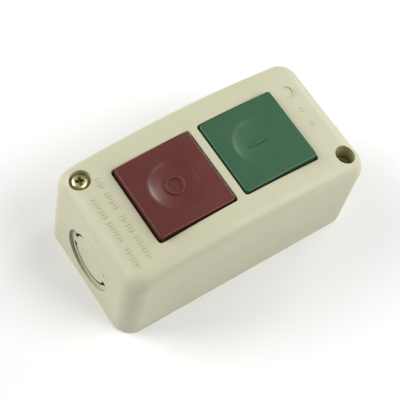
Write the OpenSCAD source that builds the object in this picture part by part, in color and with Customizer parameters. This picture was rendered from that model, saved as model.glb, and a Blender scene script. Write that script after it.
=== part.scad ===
// Three-pole push-button motor starter, lying on its wall face.
// Millimetres. +X points to the ON end, +Z away from the wall, and the
// origin is the middle of the wall face. The switch is drawn switched off.

/* [Case] */
// Length of the cover
case_l = 84; // [82:0.5:104]
// Width of the cover
case_w = 44; // [42:0.5:56]
// Height of the cover at the middle of its crowned top
case_h = 36; // [35.5:0.5:46]
// How far the top falls from the middle to the two ends
crown = 3.8; // [2:0.1:4.5]
// Radius of the upright corners
corner_r = 6; // [5:0.1:8]
// Radius of the edge round the top
edge_r = 4.8; // [3.5:0.1:5.2]
// Thickness of the side walls
wall = 2.2; // [1.8:0.1:3]
// Thickness of the roof
roof_t = 2.2; // [1.6:0.1:3]

/* [Push buttons] */
// Length of each button opening along X
opening_l = 26.4; // [24:0.1:28]
// Width of each button opening along Y
opening_w = 26.2; // [22:0.1:28]
// Width of the rib between the two openings
rib_w = 2.7; // [2.4:0.1:4]
// Corner radius of the openings and of the caps
opening_r = 1; // [0.5:0.1:2]
// Gap round a cap in its opening
cap_gap = 0.55; // [0.3:0.05:0.8]
// How far the caps stand above the middle of the top
cap_proud = 0.35; // [0.1:0.05:2]
// Thickness of the cap walls
cap_wall = 1.6; // [1.2:0.1:2]
// Thickness of the cap top
cap_top_t = 3; // [2.6:0.1:4]
// How far the retaining flange reaches under the cover
flange_reach = 1; // [0.8:0.05:1.1]
// Thickness of the retaining flange
flange_t = 1.2; // [1:0.1:1.4]
// Radius of the finger dish
dish_r = 8; // [6:0.5:9]
// Depth of the finger dish
dish_depth = 1.1; // [0.6:0.1:1.4]
// Radius of the ring legend and half the length of the bar legend
legend_r = 3.2; // [2:0.1:4]
// Stroke width of the legends
legend_w = 1; // [0.6:0.1:1.2]
// How far the legends stand up from the dish
legend_t = 0.5; // [0.3:0.05:0.6]
// Travel of the buttons
travel = 3; // [2.5:0.1:3.2]
// Radius of the button stems
stem_r = 3; // [2.4:0.1:3.4]

/* [Cover screws] */
// Distance of the cover screws from the ends of the case
screw_end_inset = 5.8; // [5.6:0.1:7]
// Distance of the cover screws from the long sides
screw_side_inset = 6.5; // [6:0.1:7]
// Radius of the screw wells
well_r = 3.15; // [2.9:0.05:3.5]
// Wall of the tube round a well
well_wall = 1.3; // [1:0.1:1.6]
// Depth of the OFF-end screw head below the surface
off_screw_sink = 0.4; // [0.3:0.1:6]
// Depth of the ON-end screw head below the surface
on_screw_sink = 5; // [0.8:0.1:6]
// Radius of the screw heads
head_r = 2.35; // [2.2:0.05:2.7]
// Height of the screw heads
head_h = 2; // [1.6:0.1:2.4]
// Radius of the screw shanks
shank_r = 1.5; // [1.2:0.05:1.6]
// Length of the screw shanks
shank_l = 11; // [9:0.5:14]
// Thickness of the seat under a head
seat_t = 1.8; // [1.4:0.1:2.4]
// Radius of the brass inserts
insert_r = 2.4; // [2:0.05:2.5]
// Length of the brass inserts
insert_l = 6; // [4:0.5:8]
// Radius of the posts that carry the inserts
post_r = 3.3; // [3.1:0.05:3.5]

/* [Knock-outs] */
// Height of the knock-outs above the wall face
knockout_z = 14.2; // [13.5:0.1:17]
// Radius of the shallow recess
recess_r = 10.1; // [9:0.1:10.6]
// Depth of the shallow recess
recess_d = 1; // [0.5:0.1:1.2]
// Outer radius of the slots round the blanking disc
slot_r = 8.4; // [7:0.1:9]
// Width of the slots
slot_w = 0.7; // [0.4:0.05:1]
// Width of the two bridges that hold the disc
bridge_w = 3.6; // [0.8:0.1:5]
// Turn of the two bridges from level
bridge_turn = 0; // [0:1:45]
// Radius of the widened slot ends
slot_end_r = 0.8; // [0.5:0.05:1]

/* [Base] */
// Thickness of the base floor
floor_t = 3; // [2:0.1:4]
// Height of the rim above the floor
rim_h = 2; // [1:0.1:2.6]
// Thickness of the rim
rim_t = 1.2; // [0.8:0.1:1.6]
// Height of the terminal deck above the wall face
deck_z = 9; // [8:0.1:10]
// Thickness of the barriers between poles
barrier_t = 1.6; // [1.2:0.1:2]
// Height of the barriers above the deck
barrier_h = 6; // [4:0.1:6.5]
// Radius of the wall fixing holes
fixing_r = 2.2; // [1.8:0.1:2.6]
// Length of the four shallow pockets in the back
pocket_l = 25; // [16:1:27]
// Width of the pockets
pocket_w = 12; // [8:0.5:13]
// Depth of the pockets
pocket_d = 0.8; // [0.4:0.1:1]
// Width of the webs between the pockets
web_w = 5; // [3:0.5:8]

/* [Poles] */
// Spacing of the three poles
pole_pitch = 11.5; // [11.2:0.1:13]
// Width of the terminal strips
strip_w = 6; // [5:0.1:6.2]
// Thickness of the terminal strips
strip_t = 1.2; // [1:0.1:1.4]
// Inner end of the strips from the middle
strip_start = 7.5; // [7:0.1:8.5]
// Distance of the terminal screws from the ends of the case
terminal_inset = 14; // [13.6:0.1:14.5]
// Radius of the terminal screw heads
terminal_head_r = 3; // [2.4:0.1:3.2]
// Radius of the terminal screw threads
terminal_thread_r = 1.75; // [1.5:0.05:2]
// Side of the square clamping washers
clamp_side = 7.2; // [6.4:0.1:7.4]
// Thickness of the clamping washers
clamp_t = 1; // [0.8:0.1:1.2]
// Radius of the contact tips
tip_r = 1.8; // [1.4:0.1:2]
// Height of the contact tips
tip_h = 0.8; // [0.6:0.05:1]
// Distance of the contact tips from the middle
tip_x = 9.6; // [9.2:0.1:10]
// Opening between the contacts when switched off, beyond the travel
contact_margin = 0.05; // [0.03:0.01:0.2]
// Width of the moving contact bridges
mover_w = 4.5; // [3.6:0.1:4.8]
// Thickness of the moving contact bridges
mover_t = 1; // [0.8:0.1:1.2]

/* [Carriage] */
// Half the thickness of the carriage beam
beam_half = 3; // [2.8:0.1:3.2]
// Height of the contact springs
contact_spring_h = 2.7; // [2.4:0.1:3.2]
// Thickness of the beam over the contact springs
tie_t = 1.6; // [1.4:0.1:2]
// Thickness of the beam under the moving contacts
sill_t = 2.2; // [1.6:0.1:2.4]
// Radius of the guide pins
guide_r = 1.5; // [1.2:0.05:1.5]
// Distance of the guide pins beyond the outer poles
guide_offset = 5.2; // [5:0.05:5.3]
// Half the width of the pushed arm and of the catch tower
arm_half = 3; // [2.6:0.1:3.2]
// Thickness of the pushed arm
arm_t = 2.8; // [2:0.1:3]

/* [Guide frame and latch] */
// Thickness of the guide frame
frame_t = 2; // [1.6:0.1:2.4]
// Half the width of the guide frame
frame_half_w = 10; // [9:0.1:12]
// Distance of the frame posts from the middle
frame_post_x = 20; // [19.8:0.1:21]
// Radius of the frame posts
frame_post_r = 2.4; // [2:0.1:2.4]
// Height of the collars round the stems
collar_h = 1.4; // [0.8:0.1:1.6]
// Wall of the collars round the stems
collar_wall = 1; // [0.8:0.1:1.1]
// Radius of the frame screw heads
frame_head_r = 2.1; // [1.8:0.1:2.2]
// Height of the frame screw heads
frame_head_h = 1.5; // [1:0.1:1.6]
// Radius of the frame screw threads
frame_thread_r = 1.1; // [0.9:0.05:1.2]
// Distance of the latch pivot from the middle
pivot_x = 6; // [5.8:0.1:6.4]
// Radius of the latch pin
pin_r = 1; // [0.8:0.05:1.1]
// Radius of the latch boss and of its lugs
boss_r = 2; // [1.8:0.05:2.1]
// Thickness of the latch tail
tail_t = 1.8; // [1.5:0.1:2]
// Thickness of the latch lugs
lug_t = 1.6; // [1.2:0.1:2]
// Reach of the catch lip beyond the carriage tower
lip_reach = 1; // [0.6:0.1:1.2]
// Height of the catch lip
lip_t = 1.4; // [1:0.1:1.6]

/* [Springs] */
// Mean radius of the button springs
cap_spring_r = 4.65; // [4.5:0.05:5]
// Wire of the button springs
cap_wire = 0.7; // [0.5:0.05:0.8]
// Mean radius of the carriage springs
carriage_spring_r = 2.1; // [2:0.05:2.2]
// Mean radius of the contact springs
contact_spring_r = 1.5; // [1.2:0.05:1.7]
// Mean radius of the latch spring
latch_spring_r = 1.4; // [1.2:0.05:1.6]
// Wire of the small springs
fine_wire = 0.4; // [0.3:0.05:0.5]

/* [Clearances] */
// Gap between parts that never touch
gap = 0.3; // [0.2:0.05:0.4]
// Radial clearance of sliding and turning fits
run_fit = 0.08; // [0.04:0.01:0.1]
// Radial clearance of pins and inserts that stay put
seat_fit = 0.02; // [0.01:0.01:0.04]

/* [Hidden] */
$fn = 48;
arc_n = 6;          // steps round an upright corner
span_n = 8;         // steps along a long side
edge_n = 6;         // steps over the top edge
coil_steps = 12;    // steps round one coil of a spring
wire_sides = 6;     // sides of a spring wire
ivory = [0.84, 0.83, 0.72];
bakelite = [0.12, 0.11, 0.10];
natural = [0.72, 0.66, 0.52];
brass = [0.78, 0.64, 0.32];
zinc = [0.70, 0.68, 0.45];
silver = [0.80, 0.80, 0.82];
steel = [0.62, 0.63, 0.65];
red = [0.46, 0.20, 0.17];
green = [0.22, 0.42, 0.27];
e = 0.01;           // overshoot of a cut past the face it opens

button_x = (opening_l + rib_w) / 2;
screw_x = case_l / 2 - screw_end_inset;
screw_y = case_w / 2 - screw_side_inset;
base_l = case_l - 2 * (wall + gap);
base_w = case_w - 2 * (wall + gap);
base_r = corner_r - wall - gap;
terminal_x = case_l / 2 - terminal_inset;
strip_end = screw_x - post_r - 0.5;
post_line = pole_pitch / 2;          // the barriers and posts between poles

contact_gap = travel + contact_margin;
strip_top = deck_z + strip_t;
mover_z = strip_top + tip_h + contact_gap + tip_h;
window_top = mover_z + mover_t + contact_spring_h;
beam_top = window_top + tie_t;
beam_bottom = mover_z - sill_t;
guide_y = pole_pitch + guide_offset;
beam_end = guide_y + guide_r + run_fit + 0.9;

stem_end = beam_top + gap;
frame_z = beam_top + 1.4;
frame_top = frame_z + frame_t;
frame_end = frame_post_x + frame_post_r + 0.6;
cap_top = case_h + cap_proud;
cap_ceiling = cap_top - cap_top_t;
cap_l = opening_l - 2 * cap_gap;
cap_w = opening_w - 2 * cap_gap;
flange_l = opening_l + 2 * flange_reach;
flange_w = opening_w + 2 * flange_reach;
flange_top = top_at(button_x + flange_l / 2) - roof_t - gap;
dish_ball = (dish_r * dish_r + dish_depth * dish_depth) / (2 * dish_depth);

tower_top = frame_top + travel + 0.25;
tower_half = beam_half - lip_reach;
nose_z = tower_top - travel + 0.2;
nose_t = 1.2;
nose_x = tower_half + lip_reach + gap;
pivot_z = beam_top - tail_t / 2;
tail_end = button_x + 2.4;
ear_x = button_x - 1;
spring_post_z = 11.5;
spring_room = carriage_spring_r + fine_wire / 2 + gap;

off_seat_z = top_at(screw_x) - off_screw_sink - head_h;
on_seat_z = top_at(screw_x) - on_screw_sink - head_h;

// Height of the crowned top at a distance x from the middle.
function top_at(x) = case_h - crown * pow(x / (case_l / 2), 2);

// Half of a rounded rectangle with y positive, from its +X end to its -X end.
function half_outline(l, w, r) = concat(
    [for (i = [0 : arc_n]) let (a = 90 * i / arc_n)
        [l / 2 - r + r * cos(a), w / 2 - r + r * sin(a)]],
    [for (i = [1 : span_n - 1]) [(l / 2 - r) * (1 - 2 * i / span_n), w / 2]],
    [for (i = [0 : arc_n]) let (a = 90 + 90 * i / arc_n)
        [r - l / 2 + r * cos(a), w / 2 - r + r * sin(a)]]);

function outline(l, w, r) = let (half = half_outline(l, w, r), n = len(half))
    concat(half, [for (i = [n - 1 : -1 : 0]) [half[i][0], -half[i][1]]]);

// A block with rounded upright corners, a crowned top lowered by sink, and
// a rounded edge of radius edge round that top.
module crowned_block(l, w, r, edge, sink, z0) {
    m = len(outline(l, w, r));
    n = m / 2;
    rings = concat([[0, 90]], [for (k = [0 : edge_n]) [1, 90 * k / edge_n]]);
    points = [for (ring = rings)
        let (inset = ring[0] * edge * (1 - cos(ring[1])), drop = edge * (1 - sin(ring[1])))
        for (p = outline(l - 2 * inset, w - 2 * inset, r - inset))
            [p[0], p[1], ring[0] == 0 ? z0 : top_at(p[0]) - sink - drop]];
    last = (len(rings) - 1) * m;
    faces = concat(
        [[for (i = [0 : m - 1]) i]],
        [for (k = [0 : len(rings) - 2], i = [0 : m - 1], half = [0, 1])
            let (a = k * m + i, b = k * m + (i + 1) % m, c = b + m, d = a + m)
            half == 0 ? [a, d, c] : [a, c, b]],
        [for (i = [0 : n - 2])
            [last + m - 1 - i, last + m - 2 - i, last + i + 1, last + i]]);
    polyhedron(points, faces);
}

// A block with rounded upright corners, standing on z = 0.
module rounded_block(l, w, h, r) {
    for (sx = [-1, 1], sy = [-1, 1])
        translate([sx * (l / 2 - r), sy * (w / 2 - r), 0]) cylinder(r = r, h = h);
    translate([-l / 2, r - w / 2, 0]) cube([l, w - 2 * r, h]);
    translate([r - l / 2, -w / 2, 0]) cube([l - 2 * r, w, h]);
}

// A coil spring of round wire standing on z = 0, with closed end coils.
module coil_spring(r, wire, h, turns) {
    steps = round(turns * coil_steps);
    dead = 0.8 / turns;
    dead_rise = 0.8 * 1.15 * wire / (h - wire);
    points = [for (i = [0 : steps])
        let (u = i / steps, a = 360 * turns * u,
            z = wire / 2 + (h - wire) * lookup(u,
                [[0, 0], [dead, dead_rise], [1 - dead, 1 - dead_rise], [1, 1]]))
        for (j = [0 : wire_sides - 1])
            let (b = 360 * j / wire_sides, q = r + wire / 2 * cos(b))
            [q * cos(a), q * sin(a), z + wire / 2 * sin(b)]];
    faces = concat(
        [[for (j = [wire_sides - 1 : -1 : 0]) j]],
        [for (i = [0 : steps - 1], j = [0 : wire_sides - 1], half = [0, 1])
            let (a = i * wire_sides + j, d = i * wire_sides + (j + 1) % wire_sides,
                b = a + wire_sides, c = d + wire_sides)
            half == 0 ? [a, d, c] : [a, c, b]],
        [[for (j = [0 : wire_sides - 1]) steps * wire_sides + j]]);
    polyhedron(points, faces);
}

// A cross-recessed screw with the underside of its head at z = 0.
module cross_screw(head_r, head_h, thread_r, thread_l) {
    dome = head_r * 2.4;
    difference() {
        union() {
            intersection() {
                cylinder(r = head_r, h = head_h);
                translate([0, 0, head_h - dome]) sphere(r = dome);
            }
            translate([0, 0, -thread_l]) cylinder(r = thread_r, h = thread_l + e);
        }
        for (turn = [0, 90]) rotate(turn)
            translate([-head_r * 0.55, -head_r * 0.13, head_h * 0.45])
                cube([head_r * 1.1, head_r * 0.26, head_h]);
    }
}

module at_cover_screws() {
    translate([-screw_x, screw_y, off_seat_z]) children();
    translate([screw_x, -screw_y, on_seat_z]) children();
}

module at_poles() {
    for (k = [-1, 0, 1]) translate([0, k * pole_pitch, 0]) children();
}

// ---- Case ----

module screw_well_walls() {
    intersection() {
        at_cover_screws() translate([0, 0, -seat_t]) cylinder(r = well_r + well_wall, h = case_h);
        crowned_block(case_l, case_w, corner_r, edge_r, 0, 0);
    }
}

module knockout_cut() {
    translate([case_l / 2 - recess_d, 0, knockout_z])
        rotate([0, 90, 0]) cylinder(r = recess_r, h = recess_d + e);
    slot_mid = slot_r - slot_w / 2;
    end_angle = asin((bridge_w / 2 + slot_end_r) / slot_mid);
    translate([case_l / 2 - wall - e, 0, knockout_z]) rotate([0, 90, 0])
        for (half = [0, 180]) {
            rotate([0, 0, bridge_turn + 90 + half + end_angle])
                rotate_extrude(angle = 180 - 2 * end_angle)
                    translate([slot_r - slot_w, 0]) square([slot_w, wall]);
            for (a = [-end_angle, end_angle]) rotate([0, 0, bridge_turn + 90 + half + a])
                translate([slot_mid, 0, 0]) cylinder(r = slot_end_r, h = wall);
        }
}

module cover() {
    color(ivory) difference() {
        union() {
            difference() {
                crowned_block(case_l, case_w, corner_r, edge_r, 0, 0);
                crowned_block(case_l - 2 * wall, case_w - 2 * wall, corner_r - wall,
                    edge_r - wall, roof_t, -1);
            }
            screw_well_walls();
        }
        for (s = [-1, 1]) translate([s * button_x, 0, case_h / 2])
            rounded_block(opening_l, opening_w, case_h, opening_r);
        at_cover_screws() {
            cylinder(r = well_r, h = case_h);
            translate([0, 0, -seat_t - 1]) cylinder(r = shank_r + gap / 2, h = seat_t + 2);
        }
        knockout_cut();
        mirror([1, 0, 0]) knockout_cut();
    }
}

module cover_screws() {
    color(zinc) at_cover_screws() cross_screw(head_r, head_h, shank_r, shank_l);
}

// ---- Base ----

module base_posts() {
    translate([-screw_x, screw_y, 0]) cylinder(r = post_r, h = off_seat_z - seat_t - gap);
    translate([screw_x, -screw_y, 0]) cylinder(r = post_r, h = on_seat_z - seat_t - gap);
}

module base() {
    color(bakelite) difference() {
        union() {
            rounded_block(base_l, base_w, floor_t, base_r);
            // rim that locates the cover, open beside the carriage springs
            difference() {
                rounded_block(base_l, base_w, floor_t + rim_h, base_r);
                translate([0, 0, -1])
                    rounded_block(base_l - 2 * rim_t, base_w - 2 * rim_t, case_h, base_r / 2);
                translate([-spring_room, -base_w / 2 - 1, -1])
                    cube([2 * spring_room, base_w + 2, case_h]);
            }
            base_posts();
            // decks under the terminal strips, one at each end
            for (s = [-1, 1])
                translate([s < 0 ? -strip_end : strip_start, -pole_pitch - strip_w / 2, floor_t - e])
                    cube([strip_end - strip_start, 2 * pole_pitch + strip_w, deck_z - floor_t + e]);
            // barriers and frame posts between the poles
            for (sx = [-1, 1], sy = [-1, 1]) {
                translate([sx < 0 ? -strip_end : beam_half + 1, sy * post_line - barrier_t / 2,
                    floor_t - e])
                    cube([strip_end - beam_half - 1, barrier_t, deck_z + barrier_h - floor_t]);
                translate([sx * frame_post_x, sy * post_line, 0])
                    cylinder(r = frame_post_r, h = frame_z);
            }
            // guide pins of the carriage and the seat of the latch spring
            for (s = [-1, 1]) translate([0, s * guide_y, 0]) cylinder(r = guide_r, h = frame_top);
            translate([-ear_x, post_line, 0])
                cylinder(r = latch_spring_r + fine_wire / 2 + 0.2, h = spring_post_z);
        }
        // room above the spring seat
        translate([-ear_x, post_line, spring_post_z]) cylinder(r = 2.6, h = case_h);
        // insert pockets with room for the screw ends
        at_cover_screws() translate([0, 0, -seat_t - gap]) {
            translate([0, 0, -insert_l]) cylinder(r = insert_r + seat_fit, h = insert_l + 1);
            translate([0, 0, -shank_l - 1]) cylinder(r = shank_r + gap / 2, h = shank_l);
        }
        // shallow pockets in the back
        for (sx = [-1, 1], sy = [-1, 1])
            translate([sx * (pocket_l + web_w) / 2, sy * (pocket_w + web_w) / 2, -1])
                rounded_block(pocket_l, pocket_w, pocket_d + 1, 1.5);
        // wall fixing holes on the other diagonal
        for (s = [-1, 1]) translate([s * screw_x, s * screw_y, -1])
            cylinder(r = fixing_r, h = floor_t + 2);
        // room for the ends of the terminal screws and the frame screw holes
        at_poles() for (s = [-1, 1]) translate([s * terminal_x, 0, floor_t + 1])
            cylinder(r = terminal_thread_r + gap / 2, h = deck_z);
        for (sx = [-1, 1], sy = [-1, 1])
            translate([sx * frame_post_x, sy * post_line, frame_z - 7])
                cylinder(r = frame_thread_r + seat_fit, h = 8);
    }
}

module cover_inserts() {
    color(brass) at_cover_screws() translate([0, 0, -seat_t - gap - insert_l]) difference() {
        cylinder(r = insert_r, h = insert_l);
        translate([0, 0, -1]) cylinder(r = shank_r + seat_fit, h = insert_l + 2);
    }
}

// ---- Terminals and fixed contacts ----

// A strip of the pole k; side is -1 for line and 1 for load.
module terminal_strip(k, side) {
    color(brass) translate([0, k * pole_pitch, deck_z]) difference() {
        translate([side < 0 ? -strip_end : strip_start, -strip_w / 2, 0])
            cube([strip_end - strip_start, strip_w, strip_t]);
        translate([side * terminal_x, 0, -1])
            cylinder(r = terminal_thread_r + seat_fit, h = strip_t + 2);
    }
}

module line_terminal_1() { terminal_strip(-1, -1); }
module line_terminal_2() { terminal_strip(0, -1); }
module line_terminal_3() { terminal_strip(1, -1); }
module load_terminal_1() { terminal_strip(-1, 1); }
module load_terminal_2() { terminal_strip(0, 1); }
module load_terminal_3() { terminal_strip(1, 1); }

module fixed_tips() {
    color(silver) at_poles() for (s = [-1, 1])
        translate([s * tip_x, 0, strip_top]) cylinder(r = tip_r, h = tip_h);
}

module terminal_clamps() {
    color(steel) at_poles() for (s = [-1, 1]) translate([s * terminal_x, 0, strip_top])
        difference() {
            translate([-clamp_side / 2, -clamp_side / 2, 0])
                cube([clamp_side, clamp_side, clamp_t]);
            translate([0, 0, -1]) cylinder(r = terminal_thread_r + gap / 2, h = clamp_t + 2);
        }
}

module terminal_screws() {
    color(zinc) at_poles() for (s = [-1, 1])
        translate([s * terminal_x, 0, strip_top + clamp_t])
            cross_screw(terminal_head_r, head_h, terminal_thread_r, clamp_t + strip_t + 3);
}

// ---- Guide frame ----

module guide_frame() {
    window_l = pivot_x + 3.7 + beam_half - 0.4;
    color(natural) difference() {
        union() {
            translate([0, 0, frame_z])
                rounded_block(2 * frame_end, 2 * frame_half_w, frame_t, 2);
            for (s = [-1, 1]) translate([s * button_x, 0, frame_z])
                cylinder(r = stem_r + run_fit + collar_wall, h = frame_t + collar_h);
            // lugs of the latch pin
            for (s = [-1, 1]) translate([-pivot_x, s * (arm_half + 0.6 + lug_t / 2), 0]) {
                translate([0, lug_t / 2, pivot_z]) rotate([90, 0, 0])
                    cylinder(r = boss_r, h = lug_t);
                translate([-boss_r, -lug_t / 2, pivot_z])
                    cube([2 * boss_r, lug_t, frame_z - pivot_z + e]);
            }
        }
        for (s = [-1, 1]) translate([s * button_x, 0, frame_z - 1])
            cylinder(r = stem_r + run_fit, h = case_h);
        translate([-pivot_x - 3.7, -arm_half - 0.6, frame_z - 1])
            cube([window_l, 2 * arm_half + 1.2, frame_t + 2]);
        translate([-pivot_x, case_w / 2, pivot_z]) rotate([90, 0, 0])
            cylinder(r = pin_r + seat_fit, h = case_w);
        for (sx = [-1, 1], sy = [-1, 1]) translate([sx * frame_post_x, sy * post_line, 0])
            cylinder(r = frame_thread_r + gap / 2, h = case_h);
    }
}

module frame_screws() {
    color(zinc) for (sx = [-1, 1], sy = [-1, 1])
        translate([sx * frame_post_x, sy * post_line, frame_top])
            cross_screw(frame_head_r, frame_head_h, frame_thread_r, frame_t + 6);
}

// ---- Latch ----

module latch_lever() {
    color(steel) difference() {
        translate([-pivot_x, 0, pivot_z]) {
            translate([0, arm_half, 0]) rotate([90, 0, 0])
                cylinder(r = boss_r, h = 2 * arm_half);
            // tail under the OFF stem, with an ear over its spring
            translate([pivot_x - tail_end, -arm_half, -tail_t / 2])
                cube([tail_end - pivot_x, 2 * arm_half, tail_t]);
            translate([pivot_x - ear_x - 2, 0, -tail_t / 2]) cube([4, post_line + 2, tail_t]);
            // hook beside the carriage tower
            translate([-1, 1 - arm_half, 0])
                cube([1.8, 2 * arm_half - 2, nose_z + nose_t - pivot_z]);
            translate([-1, 1 - arm_half, nose_z - pivot_z])
                cube([1 + pivot_x - nose_x, 2 * arm_half - 2, nose_t]);
        }
        translate([-pivot_x, case_w / 2, pivot_z]) rotate([90, 0, 0])
            cylinder(r = pin_r + run_fit, h = case_w);
    }
}

module latch_pin() {
    color(steel) translate([-pivot_x, arm_half + lug_t + 1, pivot_z]) rotate([90, 0, 0])
        cylinder(r = pin_r, h = 2 * (arm_half + lug_t + 1));
}

module latch_spring() {
    color(steel) translate([-ear_x, post_line, spring_post_z])
        coil_spring(latch_spring_r, fine_wire, pivot_z - tail_t / 2 - spring_post_z, 5);
}

// ---- Push buttons ----

module push_button() {
    difference() {
        union() {
            translate([0, 0, flange_top - flange_t])
                rounded_block(cap_l, cap_w, cap_top - flange_top + flange_t, opening_r);
            translate([0, 0, flange_top - flange_t])
                rounded_block(flange_l, flange_w, flange_t, opening_r + cap_gap);
        }
        translate([0, 0, flange_top - flange_t - 1])
            rounded_block(cap_l - 2 * cap_wall, cap_w - 2 * cap_wall,
                cap_ceiling - flange_top + flange_t + 1, opening_r);
        translate([0, 0, cap_top - dish_depth + dish_ball]) sphere(r = dish_ball, $fn = 96);
    }
    translate([0, 0, stem_end + stem_r]) {
        cylinder(r = stem_r, h = cap_ceiling - stem_end - stem_r + e);
        sphere(r = stem_r);
    }
}

module off_button() {
    color(red) translate([-button_x, 0, 0]) {
        push_button();
        translate([0, 0, cap_top - dish_depth - 0.5]) difference() {
            cylinder(r = legend_r, h = 0.5 + legend_t);
            translate([0, 0, -1]) cylinder(r = legend_r - legend_w, h = 3);
        }
    }
}

module on_button() {
    color(green) translate([button_x, 0, 0]) {
        push_button();
        translate([-legend_r, -legend_w / 2, cap_top - dish_depth - 0.5])
            cube([2 * legend_r, legend_w, 0.5 + legend_t]);
    }
}

module cap_spring() {
    translate([0, 0, frame_top])
        coil_spring(cap_spring_r, cap_wire, cap_ceiling - frame_top, 5);
}

module off_spring() { color(steel) translate([-button_x, 0, 0]) cap_spring(); }
module on_spring() { color(steel) translate([button_x, 0, 0]) cap_spring(); }

// ---- Contact carriage ----

module contact_carriage() {
    color(natural) difference() {
        union() {
            translate([-beam_half, -beam_end, beam_bottom])
                cube([2 * beam_half, 2 * beam_end, beam_top - beam_bottom]);
            // arm under the ON stem
            translate([0, -arm_half, beam_top - arm_t]) cube([button_x, 2 * arm_half, arm_t]);
            translate([button_x, 0, beam_top - arm_t]) cylinder(r = arm_half, h = arm_t);
            // tower with the catch lip
            translate([-tower_half, -arm_half, beam_top - e])
                cube([2 * tower_half, 2 * arm_half, tower_top - beam_top + e]);
            translate([-tower_half - lip_reach, -arm_half, tower_top - lip_t])
                cube([lip_reach + e, 2 * arm_half, lip_t]);
        }
        at_poles() translate([-beam_half - 1, -mover_w / 2 - gap, mover_z])
            cube([beam_half * 2 + 1 + e, mover_w + 2 * gap, window_top - mover_z]);
        at_poles() translate([-beam_half - 1, -mover_w / 2 - gap, mover_z])
            cube([tip_x + beam_half + 4, mover_w + 2 * gap, mover_t + 0.5]);
        for (s = [-1, 1]) translate([0, s * guide_y, 0])
            cylinder(r = guide_r + run_fit, h = case_h);
    }
}

module contact_bridge(k) {
    color(brass) translate([-tip_x - tip_r - 0.4, k * pole_pitch - mover_w / 2, mover_z])
        cube([2 * (tip_x + tip_r + 0.4), mover_w, mover_t]);
}

module contact_bridge_1() { contact_bridge(-1); }
module contact_bridge_2() { contact_bridge(0); }
module contact_bridge_3() { contact_bridge(1); }

module moving_tips() {
    color(silver) at_poles() for (s = [-1, 1])
        translate([s * tip_x, 0, mover_z - tip_h]) cylinder(r = tip_r, h = tip_h);
}

module contact_springs() {
    color(steel) at_poles() translate([0, 0, mover_z + mover_t])
        coil_spring(contact_spring_r, fine_wire, contact_spring_h, 3.5);
}

module carriage_springs() {
    color(steel) for (s = [-1, 1]) translate([0, s * guide_y, floor_t])
        coil_spring(carriage_spring_r, fine_wire, beam_bottom - floor_t, 6);
}

cover();
base();
cover_screws();
cover_inserts();
line_terminal_1();
line_terminal_2();
line_terminal_3();
load_terminal_1();
load_terminal_2();
load_terminal_3();
fixed_tips();
terminal_screws();
terminal_clamps();
guide_frame();
frame_screws();
latch_lever();
latch_pin();
latch_spring();
off_button();
on_button();
off_spring();
on_spring();
contact_carriage();
contact_bridge_1();
contact_bridge_2();
contact_bridge_3();
moving_tips();
contact_springs();
carriage_springs();
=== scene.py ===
# %% [markdown]
# # A push-button motor starter
# The real thing is a palm-sized moulded box that is screwed to a machine or a
# wall. A red and a green cap sit in its crowned top, two screws hold the cover
# down from deep wells, and a disc in each end can be knocked out for a cable.
# The engineering model comes first, and everything below is built around it.

# %% Open the engineering frame
import math

import bmesh
import bpy
from mathutils import Matrix, Vector


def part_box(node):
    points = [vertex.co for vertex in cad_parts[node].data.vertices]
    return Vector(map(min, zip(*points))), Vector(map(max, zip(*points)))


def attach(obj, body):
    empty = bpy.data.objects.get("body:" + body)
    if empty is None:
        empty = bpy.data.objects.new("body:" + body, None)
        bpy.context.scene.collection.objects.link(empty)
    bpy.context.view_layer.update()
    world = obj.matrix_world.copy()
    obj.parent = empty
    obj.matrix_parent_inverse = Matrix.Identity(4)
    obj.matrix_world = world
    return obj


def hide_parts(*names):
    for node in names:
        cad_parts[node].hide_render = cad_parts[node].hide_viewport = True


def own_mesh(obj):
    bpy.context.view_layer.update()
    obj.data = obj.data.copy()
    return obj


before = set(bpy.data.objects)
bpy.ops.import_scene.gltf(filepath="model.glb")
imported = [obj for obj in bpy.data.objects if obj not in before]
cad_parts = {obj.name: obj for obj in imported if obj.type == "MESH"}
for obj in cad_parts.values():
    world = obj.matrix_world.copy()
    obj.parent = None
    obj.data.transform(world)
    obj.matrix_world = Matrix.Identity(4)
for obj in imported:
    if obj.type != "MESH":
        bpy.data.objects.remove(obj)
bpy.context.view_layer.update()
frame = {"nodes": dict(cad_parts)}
MM = 0.001

# %% [markdown]
# ## The camera
# A camera can be placed by hand, by a constraint, or from a few angles. Angles
# are easiest to read: a point to aim at, how far away, which way round, how
# high, and how much the camera is rolled. A long lens keeps the edges of a
# small object close to parallel.

# %% Camera
aim = Vector((-3.7, -1.1, 18.0)) * MM
camera_distance = 373.5 * MM
azimuth, elevation, roll = (math.radians(a) for a in (-48.15, 61.05, 16.36))
back = Vector((math.sin(azimuth) * math.cos(elevation),
               -math.cos(azimuth) * math.cos(elevation), math.sin(elevation)))
level = (-back).cross(Vector((0, 0, 1))).normalized()
right = level * math.cos(roll) + level.cross(-back) * math.sin(roll)
bpy.ops.object.camera_add(location=aim + back * camera_distance)
camera = bpy.context.object
camera.name = "product_camera"
camera.rotation_euler = Matrix((right, back.cross(right), back)).transposed().to_euler()
camera.data.lens = 113
camera.data.sensor_width = 36
camera.data.clip_start = 0.01
bpy.context.scene.camera = camera
bpy.context.scene.view_settings.view_transform = "Standard"
print("camera at", [round(c, 4) for c in camera.location])

# %% [markdown]
# ## Small helpers
# Operators act on whatever is selected, so each helper first makes sure that
# nothing else is. Faces and edges are picked in code by where they are.

# %% Helpers for selecting, editing and finishing
def only(piece):
    """Selects one object and makes it active."""
    bpy.ops.object.select_all(action="DESELECT")
    piece.select_set(True)
    bpy.context.view_layer.objects.active = piece


def fresh(name):
    """Names the object that an operator has just added."""
    piece = bpy.context.object
    piece.name = piece.data.name = name
    return piece


def settle(piece):
    """Puts the place, turn and scale of an object into its mesh."""
    only(piece)
    bpy.ops.object.transform_apply(location=True, rotation=True, scale=True)
    return piece


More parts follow.
